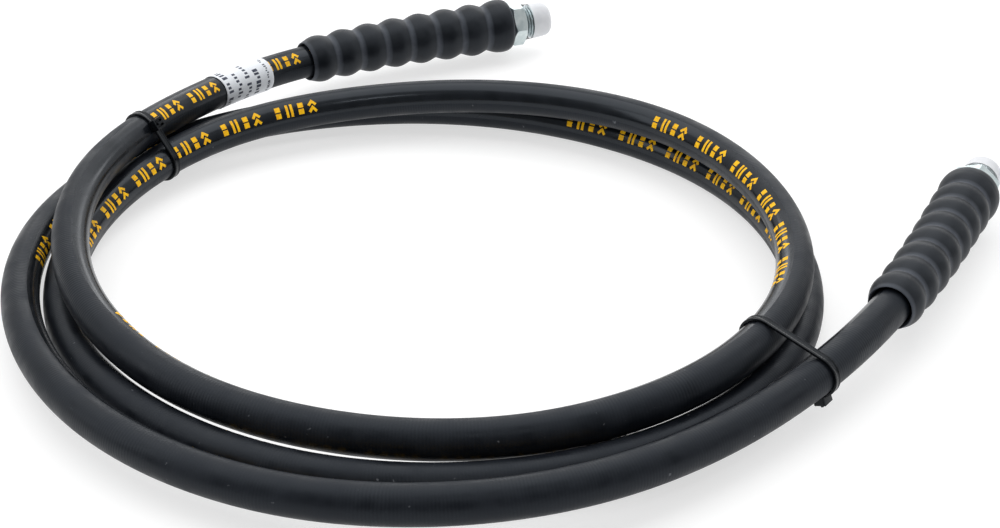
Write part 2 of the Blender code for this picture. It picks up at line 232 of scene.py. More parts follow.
def fix_normals(thing):
    shape = bmesh.new()
    shape.from_mesh(thing.data)
    bmesh.ops.recalc_face_normals(shape, faces=shape.faces)
    shape.to_mesh(thing.data)
    shape.free()


def loft(rings, first_vertex=0, close_round=True, close_along=False, ends=False):
    """Quads between equal rings of points."""
    count = len(rings[0])
    faces = []
    last = len(rings) if close_along else len(rings) - 1
    for i in range(last):
        a, b = first_vertex + i * count, first_vertex + (i + 1) % len(rings) * count
        for j in range(count if close_round else count - 1):
            k = (j + 1) % count
            faces.append((a + j, a + k, b + k, b + j))
    if ends:
        faces.append(tuple(first_vertex + j for j in range(count - 1, -1, -1)))
        faces.append(tuple(first_vertex + (len(rings) - 1) * count + j for j in range(count)))
    return faces


def auto_smooth(thing, degrees):
    """Sharp edges stay sharp beyond this angle."""
    thing.data.set_sharp_from_angle(angle=math.radians(degrees))


def hose_tube(name, steps, angles, outer, inner, materials, slots, band=True):
    """A pipe along the whole route; angles and outer radii give its section from the band's middle."""
    path, along = whole_route(steps)
    _, up, inward = route_frames(path)
    count = len(angles)
    shift = band_angle(along) if band else np.zeros(len(path))
    turn = np.radians(np.array(angles)[None, :] + shift[:, None])
    round_dir = np.cos(turn)[:, :, None] * up[:, None, :] + np.sin(turn)[:, :, None] * inward[:, None, :]
    outer_rings = path[:, None, :] + round_dir * np.array(outer)[None, :, None]
    inner_rings = path[:, None, :] + round_dir * inner
    rings = list(outer_rings) + list(inner_rings[::-1])
    faces = loft(rings, close_along=True)
    places = list(along) + list(along[::-1])
    uvs, face_slots = [], []
    for i in range(len(rings)):
        u0, u1 = places[i], places[(i + 1) % len(rings)]
        for j in range(count):
            v0 = math.radians(angles[j]) * HOSE_RADIUS
            v1 = math.radians(angles[j + 1] if j + 1 < count else angles[0] + 360) * HOSE_RADIUS
            uvs += [(u0, v0), (u0, v1), (u1, v1), (u1, v0)]
            face_slots.append(slots[j] if i < len(path) - 1 else 0)
    thing = link_mesh(name, np.concatenate(rings), faces, materials, face_slots, True, uvs)
    fix_normals(thing)
    return thing, path


def end_matrix(end, distance=HOSE_END):
    """Local +X along the end's axis at a distance from its mouth, and local x is that distance there."""
    forward = Vector(direction(end, distance))
    sideways = Vector((0, 0, 1)).cross(forward).normalized()
    axes = Matrix((forward, sideways, forward.cross(sideways))).transposed().to_4x4()
    return Matrix.Translation(Vector(axis_point(end, distance)) - forward * distance) @ axes


def turned(name, outline, sides, materials, place, radius_at=None, closed=True, sharp=None, slots=None):
    """A turned shape; radius_at(x, turn, radius) may shape it away from round, and place may depend on x."""
    rings, uvs = [], []
    for x, radius in outline:
        ring = []
        here = place(x) if callable(place) else place
        for j in range(sides):
            turn = 2 * math.pi * j / sides
            r = radius_at(x, turn, radius) if radius_at else radius
            ring.append(here @ Vector((x, r * math.cos(turn), r * math.sin(turn))))
        rings.append(ring)
    faces = loft(rings, close_along=closed, ends=not closed)
    flat = [point for ring in rings for point in ring]
    for i in range(len(rings) if closed else len(rings) - 1):
        u0, u1 = outline[i][0], outline[(i + 1) % len(rings)][0]
        for j in range(sides):
            v0, v1 = j / sides * ROUND_UV, (j + 1) / sides * ROUND_UV
            uvs += [(u0, v0), (u0, v1), (u1, v1), (u1, v0)]
    if not closed:
        for x, _ in (outline[0], outline[-1]):
            uvs += [(x, ROUND_UV * j / sides) for j in range(sides)]
    kinds = None if slots is None else [slot for slot in slots for _ in range(sides)]
    thing = link_mesh(name, flat, faces, materials, kinds, True, uvs)
    fix_normals(thing)
    if sharp:
        auto_smooth(thing, sharp)
    return thing


def joined(name, pieces):
    """Several meshes as one piece."""
    shape = bmesh.new()
    materials = list(pieces[0].data.materials)
    for piece in pieces:
        shape.from_mesh(piece.data)
    mesh = bpy.data.meshes.new(name)
    shape.to_mesh(mesh)
    shape.free()
    for material in materials:
        mesh.materials.append(material)
    for piece in pieces:
        bpy.data.objects.remove(piece, do_unlink=True)
    thing = bpy.data.objects.new(name, mesh)
    bpy.context.scene.collection.objects.link(thing)
    return thing


# ---------------------------------------------------------------- material helpers

class Paint:
    """A small node graph around one Principled shader."""

    def __init__(self, name, colour, roughness, metallic=0.0):
        self.material = bpy.data.materials.new(name)
        self.material.use_nodes = True
        self.tree = self.material.node_tree
        self.shader = self.tree.nodes["Principled BSDF"]
        self.set("Base Color", (*colour, 1.0))
        self.set("Roughness", roughness)
        self.set("Metallic", metallic)
        self.material.diffuse_color = (*colour, 1.0)
        self.heights = []

    def set(self, socket, value):
        self.shader.inputs[socket].default_value = value

    def node(self, kind, **values):
        made = self.tree.nodes.new(kind)
        for key, value in values.items():
            setattr(made, key, value)
        return made

    def wire(self, source, target):
        self.tree.links.new(source, target)

    def place(self):
        return self.node("ShaderNodeTexCoord").outputs["Object"]

    def surface(self):
        return self.node("ShaderNodeUVMap", uv_map="Surface").outputs["UV"]

    def noise(self, scale, detail=3.0, roughness=0.55, vector=None, stretch=None):
        source = vector or self.place()
        if stretch:
            mapping = self.node("ShaderNodeMapping")
            mapping.inputs["Scale"].default_value = stretch
            self.wire(source, mapping.inputs["Vector"])
            source = mapping.outputs["Vector"]
        made = self.node("ShaderNodeTexNoise")
        made.inputs["Scale"].default_value = scale
        made.inputs["Detail"].default_value = detail
        made.inputs["Roughness"].default_value = roughness
        self.wire(source, made.inputs["Vector"])
        return made.outputs["Fac"]

    def math(self, operation, first, second=0.0, clamp=False):
        made = self.node("ShaderNodeMath", operation=operation, use_clamp=clamp)
        for index, value in enumerate((first, second)):
            if isinstance(value, (int, float)):
                made.inputs[index].default_value = value
            else:
                self.wire(value, made.inputs[index])
        return made.outputs[0]

    def ramp(self, source, low, high, start=0.0, finish=1.0):
        made = self.node("ShaderNodeMapRange", clamp=True)
        self.wire(source, made.inputs["Value"])
        for socket, value in zip(("From Min", "From Max", "To Min", "To Max"), (low, high, start, finish)):
            made.inputs[socket].default_value = value
        return made.outputs["Result"]

    def blend(self, factor, first, second):
        made = self.node("ShaderNodeMix", data_type="RGBA")
        self.wire(factor, made.inputs["Factor"])
        for name, value in (("A", first), ("B", second)):
            socket = [s for s in made.inputs if s.name == name and s.type == "RGBA"][0]
            if isinstance(value, tuple):
                socket.default_value = (*value, 1.0)
            else:
                self.wire(value, socket)
        return [s for s in made.outputs if s.type == "RGBA"][0]

    def colour(self, source):
        self.wire(source, self.shader.inputs["Base Color"])

    def rough(self, source):
        self.wire(source, self.shader.inputs["Roughness"])

    def bump(self, source, distance, strength=1.0):
        made = self.node("ShaderNodeBump")
        made.inputs["Strength"].default_value = strength
        made.inputs["Distance"].default_value = distance
        self.wire(source, made.inputs["Height"])
        if self.heights:
            self.wire(self.heights[-1], made.inputs["Normal"])
        self.heights.append(made.outputs["Normal"])

    def done(self):
        if self.heights:
            self.wire(self.heights[-1], self.shader.inputs["Normal"])
        return self.material


def cover_rubber():
    """Matt rubber with the fine crosswise ribs that its curing cloth left, and a little dust."""
    paint = Paint("cover_rubber", (0.014, 0.016, 0.019), 0.5)
    split = paint.node("ShaderNodeSeparateXYZ")
    paint.wire(paint.surface(), split.inputs[0])
    wander = paint.noise(60.0, 2.0)
    strength = paint.ramp(paint.noise(26.0, 4.0, 0.65), 0.42, 0.70, 0.12, 0.9)
    phase = paint.math("MULTIPLY", split.outputs["X"], 2 * math.pi / CLOTH_RIB)
    wave = paint.math("SINE", paint.math("ADD", phase, paint.math("MULTIPLY", wander, 9.0)))
    rib = paint.math("MULTIPLY", paint.ramp(wave, -1.0, 1.0), strength)
    mottle = paint.noise(90.0, 4.0, 0.6)
    tone = paint.blend(paint.ramp(mottle, 0.35, 0.7), (0.0036, 0.0046, 0.0070), (0.0100, 0.0118, 0.0158))
    tone = paint.blend(paint.ramp(rib, 0.0, 1.0, 0.0, 0.22), tone, (0.030, 0.034, 0.041))
    scuff = paint.ramp(paint.noise(1.0, 3.0, 0.6, paint.surface(), (55.0, 420.0, 1.0)), 0.70, 0.80, 0.0, 0.35)
    tone = paint.blend(scuff, tone, (0.055, 0.060, 0.068))
    dust = paint.ramp(paint.noise(420.0, 2.0, 0.4), 0.745, 0.81, 0.0, 0.45)
    paint.colour(paint.blend(dust, tone, (0.22, 0.23, 0.25)))
    paint.set("Specular IOR Level", 0.24)
    paint.set("Specular Tint", (0.80, 0.89, 1.0, 1.0))
    paint.rough(paint.ramp(mottle, 0.32, 0.68, 0.33, 0.56))
    paint.bump(rib, 0.00006)
    paint.bump(paint.noise(1400.0, 4.0), 0.00003)
    return paint.done()


def band_rubber():
    """The smooth, glossier strip that carries the print."""
    paint = Paint("band_rubber", (0.008, 0.009, 0.011), 0.2)
    paint.set("Specular IOR Level", 0.36)
    paint.set("Specular Tint", (0.82, 0.90, 1.0, 1.0))
    mottle = paint.ramp(paint.noise(140.0, 3.0), 0.35, 0.7)
    paint.colour(paint.blend(mottle, (0.0035, 0.0045, 0.0060), (0.0075, 0.0088, 0.0115)))
    paint.rough(paint.ramp(paint.noise(35.0, 4.0), 0.35, 0.7, 0.16, 0.32))
    paint.bump(paint.noise(500.0, 3.0), 0.000012)
    return paint.done()


def guard_rubber():
    """Soft moulded rubber with a dusty bloom and a painted highlight along its grooves."""
    paint = Paint("guard_rubber", (0.014, 0.015, 0.018), 0.5)
    paint.set("Specular IOR Level", 0.30)
    paint.set("Specular Tint", (0.82, 0.90, 1.0, 1.0))
    split = paint.node("ShaderNodeSeparateXYZ")
    paint.wire(paint.surface(), split.inputs[0])
    past_start = paint.math("SUBTRACT", split.outputs["X"], GUARD_START)
    turn = paint.math("MULTIPLY", past_start, 2 * math.pi / GUARD_PITCH)
    bloom = paint.noise(75.0, 5.0, 0.62)
    tone = paint.blend(paint.ramp(bloom, 0.38, 0.68), (0.0036, 0.0046, 0.0068), (0.0115, 0.0130, 0.0165))
    # Paler towards the bottom of each groove, unevenly: a painted highlight for the soft sheen there.
    groove = paint.ramp(paint.math("COSINE", turn), 0.62, 1.0)
    groove = paint.math("MULTIPLY", groove, paint.ramp(bloom, 0.3, 0.6, 0.45, 1.0))
    paint.colour(paint.blend(groove, tone, (0.056, 0.062, 0.075)))
    paint.rough(paint.ramp(bloom, 0.3, 0.75, 0.36, 0.54))
    paint.bump(paint.noise(320.0, 4.0), 0.00005)
    paint.bump(paint.noise(1900.0, 2.0), 0.00002)
    return paint.done()


def zinc_steel():
    """Bright zinc plating over turned steel: fine rings round the axis, a faint blue cast and painted shade
    in the thread's grooves.
    """
    paint = Paint("zinc_steel", (0.70, 0.74, 0.76), 0.25, 1.0)
    rings = paint.noise(1.0, 2.0, 0.5, paint.surface(), (9000.0, 60.0, 1.0))
    cloud = paint.noise(260.0, 3.0)
    split = paint.node("ShaderNodeSeparateXYZ")
    paint.wire(paint.surface(), split.inputs[0])
    turns = paint.math("SUBTRACT", paint.math("MULTIPLY", split.outputs["X"], 1 / THREAD_PITCH),
                       paint.math("MULTIPLY", split.outputs["Y"], 1 / ROUND_UV))
    # Darker in the roots of the thread past the hexagon: painted shade.
    groove = paint.ramp(paint.math("COSINE", paint.math("MULTIPLY", turns, 2 * math.pi)), -0.2, 0.8)
    past_hexagon = paint.ramp(split.outputs["X"], HEX_END + 0.5 * MM, HEX_END + 0.7 * MM)
    groove = paint.math("MULTIPLY", groove, past_hexagon)
    plating = paint.blend(paint.ramp(cloud, 0.35, 0.7), (0.54, 0.62, 0.63), (0.72, 0.78, 0.78))
    paint.colour(paint.blend(groove, plating, (0.10, 0.14, 0.15)))
    paint.rough(paint.ramp(rings, 0.3, 0.7, 0.28, 0.46))
    paint.bump(rings, 0.000012)
    return paint.done()


def cap_plastic(name, clear):
    """Push-on cap: clear where it grips the thread, milky towards its closed end."""
    paint = Paint(name, (0.93, 0.95, 0.97), 0.32)
    paint.set("Transmission Weight", 0.97 if clear else 0.16)
    paint.set("IOR", 1.14 if clear else 1.42)
    low, high = (0.03, 0.10) if clear else (0.36, 0.50)
    dim = (0.93, 0.95, 0.97) if clear else (0.76, 0.77, 0.80)
    light = (0.98, 0.98, 0.99) if clear else (0.85, 0.86, 0.885)
    paint.rough(paint.ramp(paint.noise(420.0, 3.0), 0.35, 0.7, low, high))
    paint.colour(paint.blend(paint.ramp(paint.noise(150.0, 2.0), 0.4, 0.7), dim, light))
    paint.bump(paint.noise(900.0, 2.0), 0.00002)
    return paint.done()


def tie_nylon():
    paint = Paint("tie_nylon", (0.022, 0.024, 0.028), 0.38)
    fine = paint.noise(700.0, 3.0)
    paint.set("Specular IOR Level", 0.22)
    paint.set("Specular Tint", (0.84, 0.91, 1.0, 1.0))
    mottle = paint.ramp(paint.noise(160.0), 0.35, 0.7)
    paint.colour(paint.blend(mottle, (0.0016, 0.0022, 0.0030), (0.0050, 0.0058, 0.0072)))
    paint.rough(paint.ramp(fine, 0.3, 0.7, 0.20, 0.32))
    paint.bump(fine, 0.00002)
    return paint.done()


def label_paper():
    """Thin coated paper with a faint fibre."""
    paint = Paint("label_paper", (0.80, 0.82, 0.86), 0.5)
    fibre = paint.noise(1.0, 4.0, 0.6, paint.surface(), (900.0, 2600.0, 1.0))
    paint.colour(paint.blend(paint.ramp(fibre, 0.3, 0.7), (0.72, 0.75, 0.80), (0.85, 0.87, 0.90)))
    paint.rough(paint.ramp(fibre, 0.3, 0.7, 0.42, 0.58))
    paint.bump(fibre, 0.00002)
    return paint.done()


def ink(name, colour, spread, roughness):
    """Printed marks, a little uneven where the ink ran thin."""
    paint = Paint(name, colour, roughness)
    paint.set("Specular IOR Level", 0.25)
    thin = paint.ramp(paint.noise(900.0, 3.0), 0.35, 0.62)
    paint.colour(paint.blend(thin, spread, colour))
    paint.rough(paint.ramp(paint.noise(500.0), 0.3, 0.7, roughness - 0.06, roughness + 0.08))
    return paint.done()


def braid_wire():
    """Brass-coated steel wires laid crosswise both ways round the hose."""
    paint = Paint("braid_wire", (0.62, 0.50, 0.27), 0.3, 1.0)
    split = paint.node("ShaderNodeSeparateXYZ")
    paint.wire(paint.surface(), split.inputs[0])
    waves = []
    for sign in (1.0, -1.0):
        across = paint.math("MULTIPLY", split.outputs["Y"], sign * 1.4)
        turned_way = paint.math("ADD", split.outputs["X"], across)
        waves.append(paint.math("SINE", paint.math("MULTIPLY", turned_way, 2 * math.pi / WIRE_PITCH)))
    weave = paint.math("MAXIMUM", waves[0], waves[1])
    paint.colour(paint.blend(paint.ramp(weave, -0.4, 1.0), (0.16, 0.12, 0.06), (0.72, 0.60, 0.34)))
    paint.bump(paint.ramp(weave, -1.0, 1.0), 0.0001)
    return paint.done()


def inner_rubber():
    paint = Paint("inner_rubber", (0.012, 0.012, 0.013), 0.45)
    paint.colour(paint.blend(paint.noise(200.0), (0.008, 0.008, 0.009), (0.020, 0.020, 0.021)))
    paint.bump(paint.noise(800.0), 0.00002)
    return paint.done()


def floor_paint():
    paint = Paint("floor_paint", (0.45, 0.45, 0.45), 0.8)
    paint.colour(paint.blend(paint.noise(3.0, 2.0), (0.445, 0.445, 0.445), (0.455, 0.455, 0.452)))
    paint.set("Specular IOR Level", 0.0)
    paint.set("Emission Color", (1.0, 1.0, 1.0, 1.0))
    paint.set("Emission Strength", 0.62)
    return paint.done()


# ---------------------------------------------------------------- camera, light and floor

def aim(thing, target):
    thing.rotation_euler = (Vector(target) - thing.location).to_track_quat("-Z", "Y").to_euler()


def studio():
    camera = bpy.data.objects.new("camera", bpy.data.cameras.new("camera"))
    camera.location = Vector(COIL_CENTRE) + Vector((0.027, -0.715, 0.4317))
    camera.rotation_euler = (math.radians(59.36), 0.0, 0.0)
    camera.data.lens = 73.66
    camera.data.sensor_width = 36.0
    camera.data.clip_start = 0.01
    bpy.context.scene.collection.objects.link(camera)
    bpy.context.scene.camera = camera
    lamps = [
        ("top_light", (-0.15, 0.35, 1.3), (2.2, 1.4), 13.0),
        ("left_light", (-1.3, -0.2, 0.7), (0.5, 0.9), 2.6),
        ("right_light", (1.3, 0.1, 0.8), (0.5, 0.9), 1.6),
        ("back_strip", (0.1, 1.3, 0.5), (1.7, 0.22), 3.0),
        ("front_strip", (0.12, -0.95, 1.2), (0.42, 0.05), 0.9),
    ]
    for name, place, size, power in lamps:
        data = bpy.data.lights.new(name, "AREA")
        data.shape = "RECTANGLE"
        data.size, data.size_y = size
        data.energy = power
        lamp = bpy.data.objects.new(name, data)
        lamp.location = place
        aim(lamp, (0.0, 0.0, 0.0))
        bpy.context.scene.collection.objects.link(lamp)
    world = bpy.data.worlds.new("studio")
    world.use_nodes = True
    tree = world.node_tree
    facing = tree.nodes.new("ShaderNodeVectorMath")
    facing.operation = "DOT_PRODUCT"
    facing.inputs[1].default_value = (0.0, 0.72, 0.69)
    tree.links.new(tree.nodes.new("ShaderNodeTexCoord").outputs["Generated"], facing.inputs[0])
    spread = tree.nodes.new("ShaderNodeMapRange")
    for socket, value in zip(("From Min", "From Max", "To Min", "To Max"), (-0.25, 0.95, 0.24, 0.95)):
        spread.inputs[socket].default_value = value
    tree.links.new(facing.outputs["Value"], spread.inputs["Value"])
    tree.links.new(spread.outputs["Result"], tree.nodes["Background"].inputs["Strength"])
    tree.nodes["Background"].inputs["Color"].default_value = (0.98, 0.99, 1.0, 1.0)
    bpy.context.scene.world = world
    bpy.context.scene.view_settings.view_transform = "Standard"
    half = 6.0
    corners = [(-half, -half, 0), (half, -half, 0), (half, half, 0), (-half, half, 0)]
    floor = link_mesh("floor", corners, [(0, 1, 2, 3)], [floor_paint()], None, False)


# ---------------------------------------------------------------- the hose

def cover_section():
    """Angles from the band's middle, radii and material slots round the cover."""
    angles, radii, slots = [], [], []
    steps = [-BAND_HALF, -BAND_HALF + 2.0] + [float(a) for a in np.linspace(-33, 33, 11)] + [BAND_HALF - 2.0]
    for angle in steps:
        edge = abs(angle) >= BAND_HALF
        angles.append(angle)
        radii.append(HOSE_RADIUS if edge else HOSE_RADIUS - BAND_SINK)
        slots.append(1)
    rest = np.linspace(BAND_HALF, 360 - BAND_HALF, 40)[:-1]
    for angle in rest:
        angles.append(float(angle))
        radii.append(HOSE_RADIUS)
        slots.append(0)
    return angles, radii, slots


def hose(paints):
    angles, radii, slots = cover_section()
    skins = [paints["cover"], paints["band"]]
    cover, path = hose_tube("hose_cover_skin", 22, angles, radii, COVER_BORE, skins, slots)
    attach(cover, HOSE_BODY)
    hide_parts("hose_cover")
    sides = 20
    plain = [360 / sides * i for i in range(sides)]
    layers = [
        ("inner_tube", "hose_inner_tube", 4.5, 3.3, "inner", "tube_rubber"),
        ("inner_braid", "wire_braid_inner", 5.2, 4.7, "braid", "braid_wire"),
        ("separator", "braid_separator", 5.6, 5.3, "inner", "tube_rubber"),
        ("outer_braid", "wire_braid_outer", 6.3, 5.75, "braid", "braid_wire"),
    ]
    # Each layer: its piece, its node, outer and inner radius in millimetres, its paint and its slot.
    # The CAD's layers lie up to 0.5 mm further out, with wider gaps between them.
    for name, node, outer, inner, paint, slot in layers:
        radii, slots = [outer * MM] * sides, [0] * sides
        pipe, _ = hose_tube(name, 10, plain, radii, inner * MM, [paints[paint]], slots, False)
        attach(pipe, HOSE_BODY)
        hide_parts(node)
    return cover, path


# ---------------------------------------------------------------- printed marks

def ribbon(points, width):
    """A flat stroke of even width along points in the plane, as quads."""
    points = [np.array(p, float) for p in points]
    left, right = [], []
    for i, here in enumerate(points):
        runs = [unit(here - points[i - 1])] if i > 0 else []
        runs += [unit(points[i + 1] - here)] if i < len(points) - 1 else []
        normals = [np.array([-run[1], run[0]]) for run in runs]
        middle = unit(sum(normals))
        reach = width / 2 / max(0.5, middle @ normals[0])
        left.append(here + middle * reach)
        right.append(here - middle * reach)
    return [(left[i], left[i + 1], right[i + 1], right[i]) for i in range(len(points) - 1)]


def mark(kind):
    """Strokes of one plain mark, in millimetres round its own middle; none is a letter or a digit."""
    stroke = 1.25
    if kind == "blocks":
        return [ribbon([(-1.3, y), (1.3, y)], 2.4) for y in (1.5, -1.5)]
    if kind == "bars":
        return [ribbon([(x, -3.0), (x, 0), (x, 3.0)], stroke) for x in (-1.1, 1.1)]
    return [ribbon([(-1.7, y), (0, y - 2.0), (1.7, y)], stroke) for y in (2.5, -0.5)]


def finer(quad, size):
    """Splits a flat quad so that no side is longer than size."""
    a, b, c, d = quad
    length = max(np.linalg.norm(b - a), np.linalg.norm(c - d))
    width = max(np.linalg.norm(d - a), np.linalg.norm(c - b))
    n, m = max(1, math.ceil(length / size)), max(1, math.ceil(width / size))
    for i in range(n):
        for j in range(m):
            cell = []
            for s, t in ((i, j), (i + 1, j), (i + 1, j + 1), (i, j + 1)):
                low, high = a + (b - a) * s / n, d + (c - d) * s / n
                cell.append(low + (high - low) * t / m)
            yield cell


def layline_print(paint):
    """Rows of plain yellow marks along the band: one short pattern over and over, which spells nothing."""
    vertices, faces = [], []
    group_pitch = len(PRINT_GROUP) * MARK_PITCH + GROUP_GAP
    marks = [(i * group_pitch + (j + 0.5) * MARK_PITCH, kind)
             for i in range(PRINT_GROUP_COUNT) for j, kind in enumerate(PRINT_GROUP)]
    for start in PRINT_STARTS:
        for offset, kind in marks:
            middle = start + offset
            if not -PRINT_IN_GUARD < middle < SURFACE.along[-1] - HOSE_END + PRINT_IN_GUARD:
                continue
            for stroke in mark(kind):
                for quad in stroke:
                    for cell in finer(quad, MARK_CELL):
                        base = len(vertices)
                        for x, y in cell:
                            turn = math.degrees(y * MM / HOSE_RADIUS)
                            spot = SURFACE.at(middle + x * MM, turn, HOSE_RADIUS - MARK_SINK)
                            vertices.append(spot)
                        faces.append((base, base + 1, base + 2, base + 3))
    print_piece = link_mesh("layline_marks", vertices, faces, [paint], None, True)
    fix_outward(print_piece)
    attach(print_piece, HOSE_BODY)


def fix_outward(thing):
    """Loose quads on the hose all face away from its axis."""
    shape = bmesh.new()
    shape.from_mesh(thing.data)
    bmesh.ops.remove_doubles(shape, verts=shape.verts, dist=0.00001)
    axis = SURFACE.path
    for face in shape.faces:
        middle = np.array(face.calc_center_median())
        nearest = axis[np.argmin(np.linalg.norm(axis - middle, axis=1))]
        if face.normal.dot(Vector(middle - nearest)) < 0:
            face.normal_flip()
    shape.to_mesh(thing.data)
    shape.free()


# ---------------------------------------------------------------- ends

def guard_outline():
    """Eight rounded ribs that grow towards the fitting, a flared mouth and the inside."""
    steps = 18
    outer = []
    for i in range(GUARD_RIBS * steps + 1):
        share = i / (GUARD_RIBS * steps)
        swell = (0.5 - 0.5 * math.cos(2 * math.pi * i / steps)) ** 0.62
        groove = (9.25 + 1.75 * share) * MM
        rib = (11.0 + 2.0 * share) * MM
        outer.append((GUARD_START + GUARD_RIBS * GUARD_PITCH * share, groove + (rib - groove) * swell))
    finish = outer[-1][0]
    for i in range(1, steps // 2 + 1):
        x, _ = outer[-i]
        short_of_crest = 1 - (finish - x) / (GUARD_PITCH / 2)
        rounding = max(0.0, 1 - short_of_crest ** 3.4) ** 0.45
        outer[-i] = (x, (9.5 + 3.5 * rounding) * MM)
    inner = [
        (finish + 0.1 * MM, 9.2 * MM),
        (finish, 8.7 * MM),
        (104.4 * MM, 8.6 * MM),
        (103.6 * MM, 10.2 * MM),
        (69.0 * MM, 10.2 * MM),
        (66.0 * MM, 7.9 * MM),
        *[(distance * MM, 7.85 * MM) for distance in range(62, 5, -4)],
        (2.2 * MM, 8.25 * MM),
        (GUARD_START - 0.1 * MM, 8.75 * MM),
        (GUARD_START - 0.25 * MM, 9.0 * MM),
    ]
    return outer + inner


def hex_radius(_x, turn, radius):
    """A hexagon with its corners turned back at both ends."""
    off_flat = (turn + math.pi / 2) % (math.pi / 3) - math.pi / 6
    flat = HEX_FLATS / 2 / math.cos(off_flat)
    return min(flat, radius)


def thread_radius(x, turn, radius):
    """A V-shaped thread on the taper, which runs out at the hexagon; the bore and the nose stay plain."""
    plain_below = 7.3 * MM
    if radius < plain_below:
        return radius
    wave = (x / THREAD_PITCH - turn / (2 * math.pi)) % 1.0
    depth = min(abs(wave - 0.5) * 2, 0.92) - 0.06
    full = 1.05 * MM
    fade = min(1.0, max(0.0, (x - HEX_END - 0.2 * MM) / (0.6 * MM)))
    return radius - full * max(0.0, depth) * fade - (1 - fade) * 0.9 * MM


def fitting(name, end, paint):
    place = end_matrix(end) @ Matrix.Rotation(math.radians(end["hex_turn"]), 4, "X")
    tail = [(70.0, 2.2), (70.0, 2.35)]
    for barb in range(5):
        x = 71.0 + barb * 4.6
        tail += [(x, 2.7), (x + 0.5, 2.7), (x + 0.7, 2.4)]
    tail += [(97.4, 2.6), (97.7, 4.7), (98.4, 5.0), (103.3, 5.0), (103.35, 7.4), (103.6, 7.6), (107.6, 7.6)]
    tail += [(108.4, 7.9), (108.7, 7.9), (108.7, 2.2)]
    stem = turned(name + "_stem", [(x * MM, r * MM) for x, r in tail], 48, [paint], place, None, True, 35)
    corner = HEX_FLATS / 2 / math.cos(math.pi / 6)
    nut = [(HEX_START, 5.0 * MM), (HEX_START, 9.4 * MM), (HEX_START + 0.05 * MM, 9.65 * MM)]
    nut += [(HEX_START + x * MM, 9.65 * MM + x * 1.7 * MM) for x in (0.2, 0.4, 0.6, 0.8)]
    nut += [(HEX_END - x * MM, 9.65 * MM + x * 1.7 * MM) for x in (0.8, 0.6, 0.4, 0.2)]
    nut += [(HEX_END - 0.05 * MM, 9.65 * MM), (HEX_END, 9.4 * MM), (HEX_END, 5.0 * MM)]
    nut = [(x, min(r, corner)) for x, r in nut]
    hexagon = turned(name + "_hex", nut, 144, [paint], place, hex_radius, True, 28)
    nose = [(HEX_END - 0.2 * MM, 2.2 * MM), (HEX_END - 0.2 * MM, 7.1 * MM)]
    small_end = THREAD_RADIUS - (THREAD_END - HEX_END) / 32
    for i in range(96):
        x = HEX_END + (THREAD_END - 1.0 * MM - HEX_END) * i / 95
        nose.append((x, THREAD_RADIUS - (x - HEX_END) / 32))
    nose += [(THREAD_END - 0.6 * MM, small_end - 0.75 * MM), (THREAD_END, small_end - 1.2 * MM)]
    nose += [(THREAD_END, 2.9 * MM), (THREAD_END - 0.6 * MM, 2.25 * MM)]
    threads = turned(name + "_nose", nose, 72, [paint], place, thread_radius, True, 50)
    whole = joined(name + "_steel", [stem, hexagon, threads])
    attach(whole, HOSE_BODY)
    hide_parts(name)
    return whole


def ferrule(name, end, paint):
    """A swaged shell: eight shallow flats pressed round it between two plain rims."""
    def pressed(x, turn, radius):
        if radius < 9.0 * MM or not 72.0 * MM < x < 100.0 * MM:
            return radius
        return radius - 0.35 * MM * (0.5 + 0.5 * math.cos(8 * turn)) ** 2
    outline = [(68.0, 9.0), (68.5, 9.55), (71.5, 9.6), (72.5, 9.55), (80.0, 9.5), (90.0, 9.5), (99.5, 9.55)]
    outline += [(100.5, 9.6), (102.5, 9.6), (103.0, 9.1)]
    outline += [(103.0, 5.3), (97.6, 5.3), (97.6, 7.85), (68.0, 7.85)]
    outline = [(x * MM, r * MM) for x, r in outline]
    shell = turned(name + "_shell", outline, 64, [paint], end_matrix(end), pressed, True, 35)
    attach(shell, HOSE_BODY)
    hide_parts(name)


def bend_guard(name, end, paint):
    def place(x):
        return end_matrix(end, x)
    sleeve = turned(name + "_rubber", guard_outline(), 80, [paint], place, None, True, 60)
    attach(sleeve, HOSE_BODY)
    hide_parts(name)


def thread_cap(name, end, body, paint):
    """A milky cup pushed over the thread, a little narrower at its closed end."""
    start = 115.5 * MM
    outer = [(0.0, 8.7), (0.3, 8.88), (1.4, 8.85), (3.6, 8.74), (6.0, 8.6), (9.5, 8.3)]
    outer += [(11.8, 7.95), (12.9, 7.35), (13.6, 6.4), (13.95, 5.0), (14.05, 2.5), (14.05, 0.12)]
    inner = [(13.5, 0.12), (13.5, 5.0), (12.9, 6.6), (12.0, 7.5), (3.6, 8.24), (0.4, 8.34), (0.0, 8.5)]
    outline = [(start + x * MM, r * MM) for x, r in outer + inner]
    milky, clear = 0, 1
    slots = [clear] * 3 + [milky] * 12 + [clear] * 4
    cup = turned(name + "_cup", outline, 64, paint, end_matrix(end), None, True, 50, slots)
    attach(cup, body)
    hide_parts(name)


# ---------------------------------------------------------------- cable ties

def tie_plane(angle, turned_by):
    """A point among the strands, the level way across them and the way along them."""
    middle_of_strands = 0.155
    angle = math.radians(angle)
    anchor = COIL_CENTRE + np.array([math.cos(angle), math.sin(angle), 0]) * middle_of_strands
    way = angle - math.radians(turned_by)
    return anchor, np.array([math.cos(way), math.sin(way), 0]), np.array([-math.sin(way), math.cos(way), 0])


def crossings(plane):
    """Where the hose's axis passes through the tie's plane near its anchor, as (across, height)."""
    reach = 0.06
    anchor, level, normal = plane
    found = []
    side = (SURFACE.path - anchor) @ normal
    for i in range(len(side) - 1):
        if side[i] * side[i + 1] <= 0 and side[i] != side[i + 1]:
            step = SURFACE.path[i + 1] - SURFACE.path[i]
            point = SURFACE.path[i] + step * side[i] / (side[i] - side[i + 1])
            if np.linalg.norm(point - anchor) < reach:
                found.append(np.array([(point - anchor) @ level, point[2]]))
    return found


